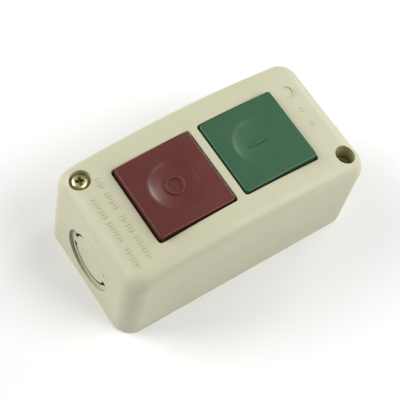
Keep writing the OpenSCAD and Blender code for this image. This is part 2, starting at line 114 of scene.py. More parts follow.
def edit(piece):
    """Opens a piece for editing, with nothing selected in it."""
    only(piece)
    bpy.ops.object.mode_set(mode="EDIT")
    bpy.ops.mesh.select_all(action="DESELECT")


def leave():
    """Goes back from editing to whole objects."""
    bpy.ops.object.mode_set(mode="OBJECT")


def pick(piece, kind, rule):
    """Selects the vertices, edges or faces that a rule says yes to."""
    bpy.ops.mesh.select_mode(type=kind)
    mesh = bmesh.from_edit_mesh(piece.data)
    bpy.ops.mesh.select_all(action="DESELECT")
    found = 0
    for part in {"VERT": mesh.verts, "EDGE": mesh.edges, "FACE": mesh.faces}[kind]:
        if rule(part):
            part.select_set(True)
            found += 1
    mesh.select_flush_mode()
    bmesh.update_edit_mesh(piece.data)
    return found


def modify(piece, kind, **settings):
    """Adds a modifier, sets it and applies it."""
    only(piece)
    modifier = piece.modifiers.new(kind.title(), kind)
    for key, value in settings.items():
        setattr(modifier, key, value)
    bpy.ops.object.modifier_apply(modifier=modifier.name)


def carve(piece, tool, how="DIFFERENCE"):
    """Cuts a tool out of a piece, or welds it on, and throws the tool away."""
    modify(piece, "BOOLEAN", object=tool, operation=how, solver="EXACT")
    bpy.data.objects.remove(tool, do_unlink=True)


def block(name, size, place):
    """A box of a given size around a given place."""
    bpy.ops.mesh.primitive_cube_add(size=1, location=place)
    bpy.context.object.scale = size
    return settle(fresh(name))


def plate(name, long_x, wide_y, place):
    """A flat rectangle of a given size around a given place."""
    bpy.ops.mesh.primitive_plane_add(size=1, location=place)
    bpy.context.object.scale = (long_x, wide_y, 1)
    return settle(fresh(name))


def rod(radius, low, high, x, y, sides=64):
    """An upright cylinder from one height to another, used as a tool."""
    bpy.ops.mesh.primitive_cylinder_add(vertices=sides, radius=radius, depth=high - low,
                                        location=(x, y, (low + high) / 2))
    return settle(fresh("tool"))


def smooth(piece, degrees=38):
    """Smooth shading with crisp corners, weighted towards the large faces."""
    only(piece)
    bpy.ops.object.shade_smooth_by_angle(angle=math.radians(degrees))
    modify(piece, "WEIGHTED_NORMAL", keep_sharp=True, weight=60)


print("helpers ready")

# %% [markdown]
# ## Sizes
# The frame gives the outside of each part, so the box, the caps and the screws
# are never guessed twice.

# %% Sizes read from the frame
case_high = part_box("cover")[1]
LENGTH, WIDTH, APEX = case_high.x * 2, case_high.y * 2, case_high.z
CROWN, CORNER, EDGE = 3.8 * MM, 6 * MM, 4.8 * MM
WALL = 2.2 * MM
TUBE_WALL, TUBE_FLOOR, TUBE_TOP = 1.3 * MM, 1.8 * MM, 31.2 * MM
screws_low, screws_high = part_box("cover_screws")
HEAD_R, HEAD_H, SHANK_R, SHANK_L = 2.35 * MM, 2 * MM, 1.5 * MM, 11 * MM
SCREW_X = screws_high.x - HEAD_R
SCREW_Y = screws_high.y - HEAD_R
WELL_R, SCREW_HOLE_R = 3.15 * MM, 1.65 * MM
off_seat = screws_high.z - HEAD_H
on_seat = screws_low.z + SHANK_L
screw_seats = [(-SCREW_X, SCREW_Y, off_seat), (SCREW_X, -SCREW_Y, on_seat)]


def top_at(x):
    """Height of the crowned top at a distance x from the middle."""
    return APEX - CROWN * (x / (LENGTH / 2)) ** 2


print("case %.1f x %.1f x %.1f mm" % (LENGTH / MM, WIDTH / MM, APEX / MM))

# %% [markdown]
# ## The cover: a rounded, crowned shell
# The cover is one thin moulding. It could be sculpted or lathed, but a box is
# the honest start: slice it along its length, round the upright corners with a
# bevel, round the top edge with a second bevel, and only then bend the top
# into its crown. A smaller block of the same kind is the core of the mould,
# and cutting it away leaves an even wall.

# %% A rounded and crowned block
SLICES = [-30.5] + [3.75 * k for k in range(-7, 8)] + [30.5]


def crowned_block(name, inset, foot):
    """A block inside the case outline by inset, standing on the height foot."""
    half_l, half_w, top = LENGTH / 2 - inset, WIDTH / 2 - inset, APEX - inset
    piece = block(name, (2 * half_l, 2 * half_w, top - foot), (0, 0, (top + foot) / 2))
    edit(piece)
    for x in SLICES:
        bpy.ops.mesh.select_all(action="SELECT")
        bpy.ops.mesh.bisect(plane_co=(x * MM, 0, 0), plane_no=(1, 0, 0))
    pick(piece, "EDGE", lambda s: abs(s.verts[0].co.z - s.verts[1].co.z) > top / 2 and
         all(abs(abs(v.co.x) - half_l) < 1e-6 and abs(abs(v.co.y) - half_w) < 1e-6 for v in s.verts))
    bpy.ops.mesh.bevel(offset=CORNER - inset, segments=12, profile=0.5)
    pick(piece, "EDGE", lambda s: all(v.co.z > top - 1e-6 for v in s.verts) and
         any(abs(f.normal.z) < 0.1 for f in s.link_faces))
    bpy.ops.mesh.bevel(offset=EDGE - inset, segments=10, profile=0.5)
    leave()
    for vertex in piece.data.vertices:
        if vertex.co.z > top - EDGE - 1e-5:
            vertex.co.z -= CROWN * (vertex.co.x / (LENGTH / 2)) ** 2
    return piece


# %% Wall and screw tubes
case = crowned_block("case_cover", 0, 0)
carve(case, crowned_block("tool", WALL, -1 * MM))
for x, y, seat in screw_seats:
    carve(case, rod(WELL_R + TUBE_WALL, seat - TUBE_FLOOR, TUBE_TOP, x, y), "UNION")
print("shell:", len(case.data.polygons), "faces")

# %% [markdown]
# ## Openings, wells and knock-outs
# Openings in a moulding are cut by steel in the tool, so a boolean cut is the
# natural way here. Each cutter is a plain shape with the fine corner radius
# that the steel has.

# %% Button openings and screw wells
OPENING_L, OPENING_W, RIB, OPENING_CORNER = 26.4 * MM, 26.2 * MM, 2.7 * MM, 1 * MM
BUTTON_X = (OPENING_L + RIB) / 2
for side in (-1, 1):
    tool = block("tool", (OPENING_L, OPENING_W, APEX / 2), (side * BUTTON_X, 0, APEX))
    edit(tool)
    pick(tool, "EDGE", lambda s: abs(s.verts[0].co.z - s.verts[1].co.z) > 1 * MM)
    bpy.ops.mesh.bevel(offset=OPENING_CORNER, segments=6)
    leave()
    carve(case, tool)
for x, y, seat in screw_seats:
    carve(case, rod(WELL_R, seat, APEX + 5 * MM, x, y))
    carve(case, rod(SCREW_HOLE_R, seat - 5 * MM, seat + 1 * MM, x, y, 32))
print("openings cut:", len(case.data.polygons), "faces")

# %% Knock-outs in both ends
KNOCK_Z, RECESS_R, RECESS_D = 14.2 * MM, 10.1 * MM, 1 * MM
SLOT_R, SLOT_W, SLOT_END_R, BRIDGE = 8.4 * MM, 0.7 * MM, 0.8 * MM, 3.6 * MM
slot_mid = SLOT_R - SLOT_W / 2
end_angle = math.asin((BRIDGE / 2 + SLOT_END_R) / slot_mid)
sweep = math.pi - 2 * end_angle


def lying_rod(radius, x, y, z, depth, sides):
    """A cylinder that lies along the case, used as a tool."""
    bpy.ops.mesh.primitive_cylinder_add(vertices=sides, radius=radius, depth=depth,
                                        location=(x, y, z), rotation=(0, math.pi / 2, 0))
    return settle(fresh("tool"))


for side in (-1, 1):
    end = side * LENGTH / 2
    carve(case, lying_rod(RECESS_R, end, 0, KNOCK_Z, 2 * RECESS_D, 96))
    middle = side * (LENGTH / 2 - WALL / 2 - RECESS_D / 2)
    for half in (0, math.pi):
        start = half + end_angle
        tool = plate("tool", WALL, SLOT_W, (middle, slot_mid, 0))
        tool.data.transform(Matrix.Translation((0, 0, KNOCK_Z)) @ Matrix.Rotation(start, 4, "X"))
        edit(tool)
        bpy.ops.mesh.select_all(action="SELECT")
        bpy.ops.mesh.spin(steps=40, angle=sweep, center=(middle, 0, KNOCK_Z), axis=(-1, 0, 0))
        bpy.ops.mesh.select_all(action="SELECT")
        bpy.ops.mesh.normals_make_consistent(inside=False)
        leave()
        carve(case, tool)
        for a in (start, start + sweep):
            carve(case, lying_rod(SLOT_END_R, middle, slot_mid * math.cos(a),
                                  KNOCK_Z + slot_mid * math.sin(a), WALL, 24))
print("knock-outs cut:", len(case.data.polygons), "faces")

# %% [markdown]
# ## Soft rims
# No moulded edge is perfectly sharp. A rim of a quarter of a millimetre
# catches the light as a thin bright line, and without it the case would look
# like paper. The rims are picked by their place and bevelled.

# %% Soften the rims of the cover
def on_top_opening(s):
    return (all(abs(v.co.x) < 28.2 * MM and abs(v.co.y) < 13.4 * MM and
                abs(v.co.z - top_at(v.co.x)) < 0.06 * MM for v in s.verts) and
            len(s.link_faces) == 2 and
            sorted(abs(f.normal.z) > 0.7 for f in s.link_faces) == [False, True])


def on_well_rim(s):
    return any(all(abs(math.hypot(v.co.x - x, v.co.y - y) - WELL_R) < 0.03 * MM and
                   v.co.z > top_at(x) - 3.5 * MM for v in s.verts) for x, y, seat in screw_seats) \
        and sorted(abs(f.normal.z) > 0.3 for f in s.link_faces) == [False, True]


def on_recess_rim(s):
    return all(abs(abs(v.co.x) - LENGTH / 2) < 1e-6 and
               abs(math.hypot(v.co.y, v.co.z - KNOCK_Z) - RECESS_R) < 0.05 * MM for v in s.verts)


def on_foot(s):
    return all(v.co.z < 1e-6 for v in s.verts) and any(
        abs(f.normal.z) < 0.1 and f.normal.x * f.calc_center_median().x +
        f.normal.y * f.calc_center_median().y > 0 for f in s.link_faces)


RIM_WIDTHS = ((on_top_opening, 0.3), (on_well_rim, 0.22), (on_recess_rim, 0.25), (on_foot, 0.25))
for rule, width in RIM_WIDTHS:
    edit(case)
    found = pick(case, "EDGE", rule)
    bpy.ops.mesh.bevel(offset=width * MM, segments=3, profile=0.5, clamp_overlap=True)
    leave()
    print(rule.__name__, found, "edges softened")
smooth(case)
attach(case, "housing")
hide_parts("cover")

# %% [markdown]
# ## The caps
# Each cap is a square key with a shallow round finger dish. The dish is made
# first, by insetting a disc step by step and sinking it along a curve. The
# disc is then bridged to the square outline, and the outline is drawn down
# into the walls, out into the hidden flange, and back up inside.

# %% Helper for loops of a cap
def outline_of_cap(piece, z):
    """Picks the open boundary of the mesh at one height."""
    return pick(piece, "EDGE", lambda s: s.is_boundary and
                all(abs(v.co.z - z) < 1e-6 for v in s.verts))


def draw_out(dx, dy, dz, size):
    """Extrudes the picked loop, grows it by dx, dy and lowers it by dz."""
    bpy.ops.mesh.extrude_edges_move()
    bpy.ops.transform.resize(value=((size[0] + dx) / size[0], (size[1] + dy) / size[1], 1),
                             center_override=(size[2], 0, 0))
    bpy.ops.transform.translate(value=(0, 0, dz))
    return size[0] + dx, size[1] + dy, size[2]


DISH_R, DISH_D, DISH_RIM = 8 * MM, 1.1 * MM, 0.9 * MM
CAP_WALL, CAP_TOP, STEM_R = 1.6 * MM, 3 * MM, 3 * MM
FLANGE_REACH, FLANGE_T, CAP_GAP = 1 * MM, 1.2 * MM, 0.55 * MM
FLANGE_DROP, CAP_CORNER, CAP_EDGE = 2.5 * MM, 1 * MM, 0.3 * MM
dish_ball = (DISH_R ** 2 + DISH_D ** 2) / (2 * DISH_D)


def dish_depth(r):
    """Depth of the dish at radius r: a ball, eased into the flat at its rim."""
    ball = math.sqrt(dish_ball ** 2 - min(r, DISH_R) ** 2) - (dish_ball - DISH_D)
    edge = DISH_R - DISH_RIM / 2
    if r <= edge - DISH_RIM / 2:
        return ball
    start = math.sqrt(dish_ball ** 2 - (edge - DISH_RIM / 2) ** 2) - (dish_ball - DISH_D)
    t = (DISH_R + DISH_RIM / 2 - r) / (1.5 * DISH_RIM)
    return start * max(t, 0) ** 2


print("dish ball radius %.1f mm" % (dish_ball / MM))

# %% Make one cap
def make_cap(node, name):
    low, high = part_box(node)
    cx, top, stem_end = (low.x + high.x) / 2, high.z, low.z
    size_l, size_w = OPENING_L - 2 * CAP_GAP, OPENING_W - 2 * CAP_GAP
    flange_top = top_at(abs(cx) + OPENING_L / 2 + FLANGE_REACH) - FLANGE_DROP
    outer = DISH_R + DISH_RIM / 2
    bpy.ops.mesh.primitive_circle_add(vertices=96, radius=outer, fill_type="NGON",
                                      location=(cx, 0, top))
    cap = settle(fresh(name))
    edit(cap)
    bpy.ops.mesh.select_all(action="SELECT")
    radii = [outer - DISH_RIM * 1.5 * k / 8 for k in range(1, 9)] + \
            [r * MM for r in (6.4, 5.6, 4.8, 4.0, 3.2, 2.4, 1.6, 0.8)]
    was = outer
    for r in radii:
        bpy.ops.mesh.inset(thickness=was - r, depth=0)
        bpy.ops.transform.translate(value=(0, 0, dish_depth(was) - dish_depth(r)))
        was = r
    bpy.ops.mesh.primitive_plane_add(size=1, location=(cx, 0, top))
    bpy.ops.transform.resize(value=(size_l, size_w, 1), center_override=(cx, 0, top))
    mesh = bmesh.from_edit_mesh(cap.data)
    square = [v.co.copy() for v in mesh.verts if v.select]
    bpy.ops.mesh.delete(type="ONLY_FACE")
    pick(cap, "VERT", lambda v: any((v.co - c).length < 1e-7 for c in square))
    bpy.ops.mesh.bevel(offset=CAP_CORNER, segments=6, affect="VERTICES")
    pick(cap, "EDGE", lambda s: abs(s.verts[0].co.z - top) < 1e-6 and
         abs(s.verts[1].co.z - top) < 1e-6 and (s.is_boundary or s.is_wire))
    bpy.ops.mesh.bridge_edge_loops()
    size = (size_l, size_w, cx)
    outline_of_cap(cap, top)
    size = draw_out(0, 0, flange_top - top, size)
    reach = 2 * (FLANGE_REACH + CAP_GAP)
    size = draw_out(reach, reach, 0, size)
    size = draw_out(0, 0, -FLANGE_T, size)
    size = draw_out(size_l - 2 * CAP_WALL - size[0], size_w - 2 * CAP_WALL - size[1], 0, size)
    size = draw_out(0, 0, top - CAP_TOP - flange_top + FLANGE_T, size)
    bpy.ops.mesh.edge_face_add()
    bpy.ops.mesh.select_all(action="SELECT")
    bpy.ops.mesh.normals_make_consistent(inside=False)
    pick(cap, "EDGE", lambda s: all(abs(v.co.z - top) < 1e-6 for v in s.verts) and
         any(abs(f.normal.z) < 0.1 for f in s.link_faces))
    bpy.ops.mesh.bevel(offset=CAP_EDGE, segments=4, profile=0.5)
    leave()
    stem = rod(STEM_R, stem_end + STEM_R, top - CAP_TOP + 0.5 * MM, cx, 0, 48)
    edit(stem)
    pick(stem, "EDGE", lambda s: all(v.co.z < stem_end + STEM_R + 1e-6 for v in s.verts))
    pick(stem, "FACE", lambda f: f.normal.z < -0.9)
    was = STEM_R
    for k in range(1, 9):
        a = math.pi / 2 * k / 8.5
        bpy.ops.mesh.inset(thickness=was - STEM_R * math.cos(a), depth=0)
        bpy.ops.transform.translate(value=(0, 0, -STEM_R * (math.sin(a) -
                                    math.sin(math.pi / 2 * (k - 1) / 8.5))))
        was = STEM_R * math.cos(a)
    leave()
    only(cap)
    stem.select_set(True)
    bpy.ops.object.join()
    smooth(cap)
    print(name, len(cap.data.polygons), "faces")
    return cap, cx, top


off_cap, off_x, cap_top = make_cap("off_button", "off_cap")
on_cap, on_x, cap_top = make_cap("on_button", "on_cap")

# %% [markdown]
# ## Legends
# The caps carry the two plain signs that switches all over the world share: a
# ring for off and a bar for on. They stand half a millimetre up from the dish.

# %% Ring and bar
LEGEND_R, LEGEND_W, LEGEND_T, SINK = 3.2 * MM, 1 * MM, 0.5 * MM, 0.3 * MM
legend_floor = cap_top - DISH_D - SINK


def raise_legend(piece):
    """Extrudes a flat sign up from inside the dish and rounds its top edges."""
    edit(piece)
    bpy.ops.mesh.select_all(action="SELECT")
    bpy.ops.mesh.extrude_region_move(TRANSFORM_OT_translate={"value": (0, 0, LEGEND_T + SINK)})
    bpy.ops.mesh.select_all(action="SELECT")
    bpy.ops.mesh.normals_make_consistent(inside=False)
    pick(piece, "EDGE", lambda s: all(v.co.z > legend_floor + LEGEND_T for v in s.verts) and
         any(abs(f.normal.z) < 0.3 for f in s.link_faces))
    bpy.ops.mesh.bevel(offset=0.14 * MM, segments=3)
    leave()
    smooth(piece)


bpy.ops.mesh.primitive_circle_add(vertices=64, radius=LEGEND_R, fill_type="NGON",
                                  location=(off_x, 0, legend_floor))
off_sign = settle(fresh("off_sign"))
edit(off_sign)
bpy.ops.mesh.select_all(action="SELECT")
bpy.ops.mesh.inset(thickness=LEGEND_W)
bpy.ops.mesh.delete(type="FACE")
leave()
raise_legend(off_sign)
on_sign = plate("on_sign", 2 * LEGEND_R, LEGEND_W, (on_x, 0, legend_floor))
raise_legend(on_sign)
for cap, sign, node, body, slot in ((off_cap, off_sign, "off_button", "off_pushbutton", "red_cap"),
                                    (on_cap, on_sign, "on_button", "on_pushbutton", "green_cap")):
    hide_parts(node)
    for piece in (cap, sign):
        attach(piece, body)
print("legends at", round(legend_floor / MM, 2), "mm")

# %% [markdown]
# ## Cover screws
# A pan-head screw has a gently domed head, a rounded rim and a cross recess
# that narrows as it goes down. The dome comes from insets, and the recess is a
# small cross, drawn out of a cube, that is tapered and carved away.

# %% Two screws, each turned its own way
POINT_L = 0.6 * MM
ARM_HALF, ARM_REACH, CROSS_D = 0.48 * MM, 1.1 * MM, 1.3 * MM


def make_screw(x, y, seat, turn):
    """A pan-head screw on its seat, with the cross recess turned by turn degrees."""
    screw = rod(HEAD_R, seat, seat + HEAD_H * 0.62, x, y, 64)
    screw.name = screw.data.name = "cover_screw"
    edit(screw)
    pick(screw, "FACE", lambda f: f.normal.z > 0.9)
    was_r, was_z = HEAD_R, 0.0
    for k in range(1, 9):
        a = math.pi / 2 * k / 9
        r = HEAD_R * (0.30 + 0.70 * math.cos(a) ** 0.8)
        z = HEAD_H * 0.38 * math.sin(a)
        bpy.ops.mesh.inset(thickness=was_r - r, depth=0)
        bpy.ops.transform.translate(value=(0, 0, z - was_z))
        was_r, was_z = r, z
    pick(screw, "FACE", lambda f: f.normal.z < -0.9)
    bpy.ops.mesh.inset(thickness=HEAD_R - SHANK_R)
    bpy.ops.mesh.extrude_region_move(TRANSFORM_OT_translate={"value": (0, 0, POINT_L - SHANK_L)})
    bpy.ops.mesh.extrude_region_move(TRANSFORM_OT_translate={"value": (0, 0, -POINT_L)})
    bpy.ops.transform.resize(value=(0.7, 0.7, 1), center_override=(x, y, 0))
    leave()
    cross = block("tool", (2 * ARM_HALF, 2 * ARM_HALF, CROSS_D), (0, 0, 0))
    edit(cross)
    for direction in (Vector((1, 0, 0)), Vector((-1, 0, 0)), Vector((0, 1, 0)), Vector((0, -1, 0))):
        pick(cross, "FACE", lambda f: f.normal.dot(direction) > 0.9 and
             f.calc_center_median().dot(direction) > ARM_HALF * 0.9 and
             f.calc_center_median().cross(direction).length < CROSS_D / 4)
        bpy.ops.mesh.extrude_region_move(TRANSFORM_OT_translate={"value": direction * ARM_REACH})
        bpy.ops.transform.resize(value=(1 if direction.x else 0.9, 1 if direction.y else 0.9, 1),
                                 center_override=(0, 0, 0))
    pick(cross, "VERT", lambda v: v.co.z < 0)
    bpy.ops.transform.resize(value=(0.45, 0.45, 1), center_override=(0, 0, 0))
    leave()
    cross.data.transform(Matrix.Translation((x, y, seat + HEAD_H - CROSS_D / 2 + 0.1 * MM)) @
                         Matrix.Rotation(math.radians(turn), 4, "Z"))
    carve(screw, cross)
    smooth(screw, 35)
    return screw


off_screw = make_screw(*screw_seats[0], -17.5)
on_screw = make_screw(*screw_seats[1], 61)
only(off_screw)
on_screw.select_set(True)
bpy.ops.object.join()
cover_screws = fresh("cover_screw_pair")
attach(cover_screws, "housing")
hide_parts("cover_screws")
print("screw pair:", len(cover_screws.data.polygons), "faces")

# %% [markdown]
# ## Moulded marks
# The real cover has small raised characters near its ends. They are replaced
# here with plain raised ticks of the same size, so that the surface keeps its
# texture and says nothing. The same few steps make every tick, at the height
# that the crown has where it stands.

# %% Rows of plain raised ticks
MARK_T, MARK_W, MARK_TAPER, PITCH = 0.16 * MM, 0.4 * MM, 0.16 * MM, 1.04
RING_X, RING_Y, RING_R, RING_W = 33.3 * MM, 10.6 * MM, 2.1 * MM, 0.35 * MM


def raised_tick(x, y, long_x, wide_y):
    """A low pad with a narrower top, half sunk in the cover."""
    z = top_at(x) - SINK
    tick = plate("tick", long_x, wide_y, (x, y, z))
    edit(tick)
    bpy.ops.mesh.select_all(action="SELECT")
    bpy.ops.mesh.extrude_region_move(TRANSFORM_OT_translate={"value": (0, 0, SINK + MARK_T)})
    bpy.ops.transform.resize(value=(1 - MARK_TAPER / long_x, 1 - MARK_TAPER / wide_y, 1),
                             center_override=(x, y, 0))
    bpy.ops.mesh.select_all(action="SELECT")
    bpy.ops.mesh.normals_make_consistent(inside=False)
    leave()
    return tick


ticks = []
for x, start, count, gaps in ((-32.0, 13.2, 28, (4, 11, 12, 19)), (-36.0, 8.2, 24, (7, 15, 16))):
    for k in range(count):
        if k not in gaps:
            tall = (1.8, 1.45, 1.8, 1.1)[k % 4]
            ticks.append(raised_tick(x * MM, (start - PITCH * k) * MM, tall * MM, MARK_W))
for y in (3.9, 2.9, -1.6, -2.6):
    ticks.append(raised_tick(RING_X, y * MM, 1.5 * MM, MARK_W))
bpy.ops.mesh.primitive_circle_add(vertices=40, radius=RING_R, fill_type="NGON",
                                  location=(RING_X, RING_Y, top_at(RING_X) - SINK))
ring = settle(fresh("mark_ring"))
edit(ring)
bpy.ops.mesh.select_all(action="SELECT")
bpy.ops.mesh.inset(thickness=RING_W)
bpy.ops.mesh.delete(type="FACE")
bpy.ops.mesh.select_all(action="SELECT")
bpy.ops.mesh.extrude_region_move(TRANSFORM_OT_translate={"value": (0, 0, SINK + MARK_T)})
bpy.ops.mesh.select_all(action="SELECT")
bpy.ops.mesh.normals_make_consistent(inside=False)
leave()
only(ring)
for tick in ticks:
    tick.select_set(True)
bpy.ops.object.join()
marks = fresh("moulded_marks")
smooth(marks, 30)
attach(marks, "housing")
print("marks:", len(ticks) + 1)

# %% [markdown]
# ## Coil springs
# A spring must shorten when its button goes down, or it would come out through
# the cap. Each one here is a small circle swept up a screw line, over the height
# of the part it replaces, and it stays fixed to the housing.

# %% Wind the springs and fix them to the housing
def coil(name, x, y, low, high, radius, wire_r, turns):
    """A closed coil of wire from one height to another, around an upright axis."""
    bpy.ops.mesh.primitive_circle_add(vertices=10, radius=wire_r, rotation=(math.pi / 2, 0, 0),
                                      location=(radius, 0, low + wire_r))
    spring = settle(fresh(name))
    modify(spring, "SCREW", axis="Z", angle=2 * math.pi * turns, steps=24 * turns,
           screw_offset=high - low - 2 * wire_r, iterations=1)
    edit(spring)
    bpy.ops.mesh.select_all(action="SELECT")
    bpy.ops.mesh.fill_holes(sides=0)
    bpy.ops.mesh.normals_make_consistent(inside=False)
    leave()
    spring.data.transform(Matrix.Translation((x, y, 0)))
    smooth(spring, 60)
    return spring


springs = []
for name, replaced, joint, radius, wire_r, turns, keep in (
        ("off_return_spring", "off_spring", "off_press", 4.65, 0.35, 5, 0.68),
        ("on_return_spring", "on_spring", "on_press", 4.65, 0.35, 5, 0.68),
        ("latch_return_spring", "latch_spring", "latch_swing", 1.4, 0.2, 5, 0.5),
        ("carriage_return_springs", "carriage_springs", "carriage_travel", 2.1, 0.2, 6, 0.68)):
    low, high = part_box(replaced)
    x, reach = (low.x + high.x) / 2, (high.x - low.x) / 2
    for y in sorted({round(low.y + reach, 5), round(high.y - reach, 5)}):
        spring = coil(name, x, y, low.z, high.z, radius * MM, wire_r * MM, turns)
        if springs and springs[-1].name == name:
            only(springs[-1])
            spring.select_set(True)
            bpy.ops.object.join()
        else:
            springs.append(spring)
    spring = springs[-1]
    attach(spring, "housing")
    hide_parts(replaced)
    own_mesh(spring)
    print(spring.name, len(spring.data.polygons), "faces")

# %% [markdown]
# ## Finishes
# Every finish is a small node tree on Object coordinates, which are metres on
# the real part, so a pattern keeps its true scale. Colours drift slowly, fine
# noise breaks up the gloss, and a faint bump stands for the moulded grain.

# %% Helpers for finishes
def srgb(r, g, b):
    """Turns a colour as seen on a screen, 0 to 255, into the linear one."""
    return tuple((c / 255 / 12.92) if c / 255 <= 0.04045 else
                 ((c / 255 + 0.055) / 1.055) ** 2.4 for c in (r, g, b)) + (1.0,)


class Finish:
    """A material whose nodes are added one at a time."""

    def __init__(self, name, **settings):
        self.material = bpy.data.materials.new(name)
        self.material.use_nodes = True
        self.tree = self.material.node_tree
        self.shader = self.tree.nodes["Principled BSDF"]
        for key, value in settings.items():
            self.shader.inputs[key.replace("_", " ")].default_value = value
        self.place = self.add("ShaderNodeTexCoord").outputs["Object"]

    def add(self, kind, **settings):
        node = self.tree.nodes.new(kind)
        for key, value in settings.items():
            setattr(node, key, value)
        return node

    def link(self, out, into):
        self.tree.links.new(out, into)

    def noise(self, size, detail=3, rough=0.5):
        """Noise whose lumps are about size millimetres across."""
        node = self.add("ShaderNodeTexNoise")
        node.inputs["Scale"].default_value = 1000 / size
        node.inputs["Detail"].default_value = detail
        node.inputs["Roughness"].default_value = rough
        self.link(self.place, node.inputs["Vector"])
        return node.outputs["Fac"]

    def ramp(self, value, stops):
        """Turns a value into the colours of the stops."""
        node = self.add("ShaderNodeValToRGB")
        first, last = node.color_ramp.elements[0], node.color_ramp.elements[1]
        first.position, first.color = stops[0]
        last.position, last.color = stops[-1]
        for position, color in stops[1:-1]:
            node.color_ramp.elements.new(position).color = color
        self.link(value, node.inputs["Fac"])
        return node.outputs["Color"]

    def span(self, value, low, high):
        """Spreads a 0.3 to 0.7 noise over the range from low to high."""
        node = self.add("ShaderNodeMapRange")
        for key, number in (("From Min", 0.3), ("From Max", 0.7), ("To Min", low), ("To Max", high)):
            node.inputs[key].default_value = number
        self.link(value, node.inputs["Value"])
        return node.outputs["Result"]

    def mix(self, amount, a, b, how="MIX"):
        """Lays b over a by an amount, each a number, a colour or a socket."""
        node = self.add("ShaderNodeMix", data_type="RGBA", blend_type=how)
        for value, socket in ((amount, node.inputs[0]), (a, node.inputs[6]), (b, node.inputs[7])):
            if isinstance(value, bpy.types.NodeSocket):
                self.link(value, socket)
            else:
                socket.default_value = value
        return node.outputs[2]

    def sum(self, how, *values):
        """One step of arithmetic on values that are each a number or a socket."""
        node = self.add("ShaderNodeMath", operation=how)
        for value, socket in zip(values, node.inputs):
            if isinstance(value, bpy.types.NodeSocket):
                self.link(value, socket)
            else:
                socket.default_value = value
        return node.outputs[0]

    def reach(self, centre, axes):
        """How far a place is from a centre, counting only the given axes."""
        value = self.place
        for how, amount in (("SUBTRACT", centre), ("MULTIPLY", axes)):
            node = self.add("ShaderNodeVectorMath", operation=how)
            self.link(value, node.inputs[0])
            node.inputs[1].default_value = amount
            value = node.outputs[0]
        length = self.add("ShaderNodeVectorMath", operation="LENGTH")
        self.link(value, length.inputs[0])
        return length.outputs["Value"]

    def bump(self, heights):
        """Stacks bumps, each a height socket and a depth in millimetres."""
        normal = None
        for height, depth in heights:
            node = self.add("ShaderNodeBump")
            node.inputs["Strength"].default_value = 1.0
            node.inputs["Distance"].default_value = depth * MM
            self.link(height, node.inputs["Height"])
            if normal:
                self.link(normal, node.inputs["Normal"])
            normal = node.outputs["Normal"]
        self.link(normal, self.shader.inputs["Normal"])

    def color(self, socket):
        self.link(socket, self.shader.inputs["Base Color"])

    def roughness(self, socket):
        self.link(socket, self.shader.inputs["Roughness"])

    def wear(self, *pieces):
        """Gives this finish to pieces, in place of what they had."""
        for piece in pieces:
            piece.data.materials.clear()
            piece.data.materials.append(self.material)


def grey(v):
    """A neutral colour of linear brightness v."""
    return (v, v, v, 1.0)


print("finish helper ready")

# %% [markdown]
# ### Moulded plastic
# The cover and the caps are the same kind of plastic in three colours. The
# surface has a slow drift of colour, small pale scuffs, and a satin gloss that
# changes a little from place to place. Shade is painted into the ivory, so it
# is darker in the screw wells, on the step of the knock-outs and, most of all,
# in their narrow slots.

# %% Ivory, red and green plastic
def moulded(name, main, drift, scuff, rough_low, rough_high, grain, **settings):
    finish = Finish(name, **settings)
    slow = finish.ramp(finish.noise(26, 2), [(0.35, main), (0.65, drift)])
    fine = finish.ramp(finish.noise(1.6, 6, 0.7), [(0.60, grey(0)), (0.78, grey(1))])
    finish.skin = finish.mix(fine, slow, scuff)
    finish.color(finish.skin)
    finish.roughness(finish.span(finish.noise(5, 5, 0.6), rough_low, rough_high))
    finish.bump([(finish.noise(0.45, 2), grain), (finish.noise(9, 2), grain * 3)])
    return finish


ivory = moulded("ivory_plastic", srgb(187, 185, 158), srgb(184, 182, 154), srgb(191, 189, 167),
                0.36, 0.48, 0.012, Specular_IOR_Level=0.45)
red = moulded("red_plastic", srgb(86, 39, 34), srgb(82, 37, 32), srgb(94, 47, 42),
              0.28, 0.38, 0.010, Specular_IOR_Level=0.45)
green = moulded("green_plastic", srgb(52, 88, 63), srgb(56, 93, 67), srgb(66, 100, 76),
                0.28, 0.38, 0.010, Specular_IOR_Level=0.45)
# Painted shade: the ivory is made darker in the screw wells, on the knock-out step and, nearly black,
# in the slots.
WELL_SHADE, STEP_SHADE, SLOT_SHADE = (0.85, 0.85, 0.68, 1), (0.72, 0.72, 0.62, 1), (0.05, 0.05, 0.04, 1)
in_wells = ivory.sum("MAXIMUM", *(ivory.sum("LESS_THAN", ivory.reach((x, y, 0), (1, 1, 0)),
                                            WELL_R + 0.05 * MM) for x, y, seat in screw_seats))
from_middle = ivory.reach((0, 0, 0), (1, 0, 0))
from_disc = ivory.reach((0, 0, KNOCK_Z), (0, 1, 1))
in_slots = ivory.sum("MULTIPLY", ivory.sum("LESS_THAN", from_disc, RECESS_R - 0.2 * MM),
                     ivory.sum("LESS_THAN", from_middle, LENGTH / 2 - RECESS_D - 0.03 * MM))
on_step = ivory.sum("MULTIPLY", ivory.sum("LESS_THAN", from_middle, LENGTH / 2 - 0.15 * MM),
                    ivory.sum("COMPARE", from_disc, RECESS_R, 0.06 * MM))
skin = ivory.mix(in_wells, ivory.skin, WELL_SHADE, "MULTIPLY")
skin = ivory.mix(on_step, skin, STEP_SHADE, "MULTIPLY")
ivory.color(ivory.mix(in_slots, skin, SLOT_SHADE, "MULTIPLY"))
ivory.wear(case, marks)
red.wear(off_cap, off_sign)
green.wear(on_cap, on_sign)
print("plastics:", ivory.material.name, red.material.name, green.material.name)

# %% [markdown]
# ### Inside plastics
# The base is a dark phenolic, pressed from powder, so it is speckled and dull.
# The guide frame and the carriage are natural nylon, warm and slightly waxy.

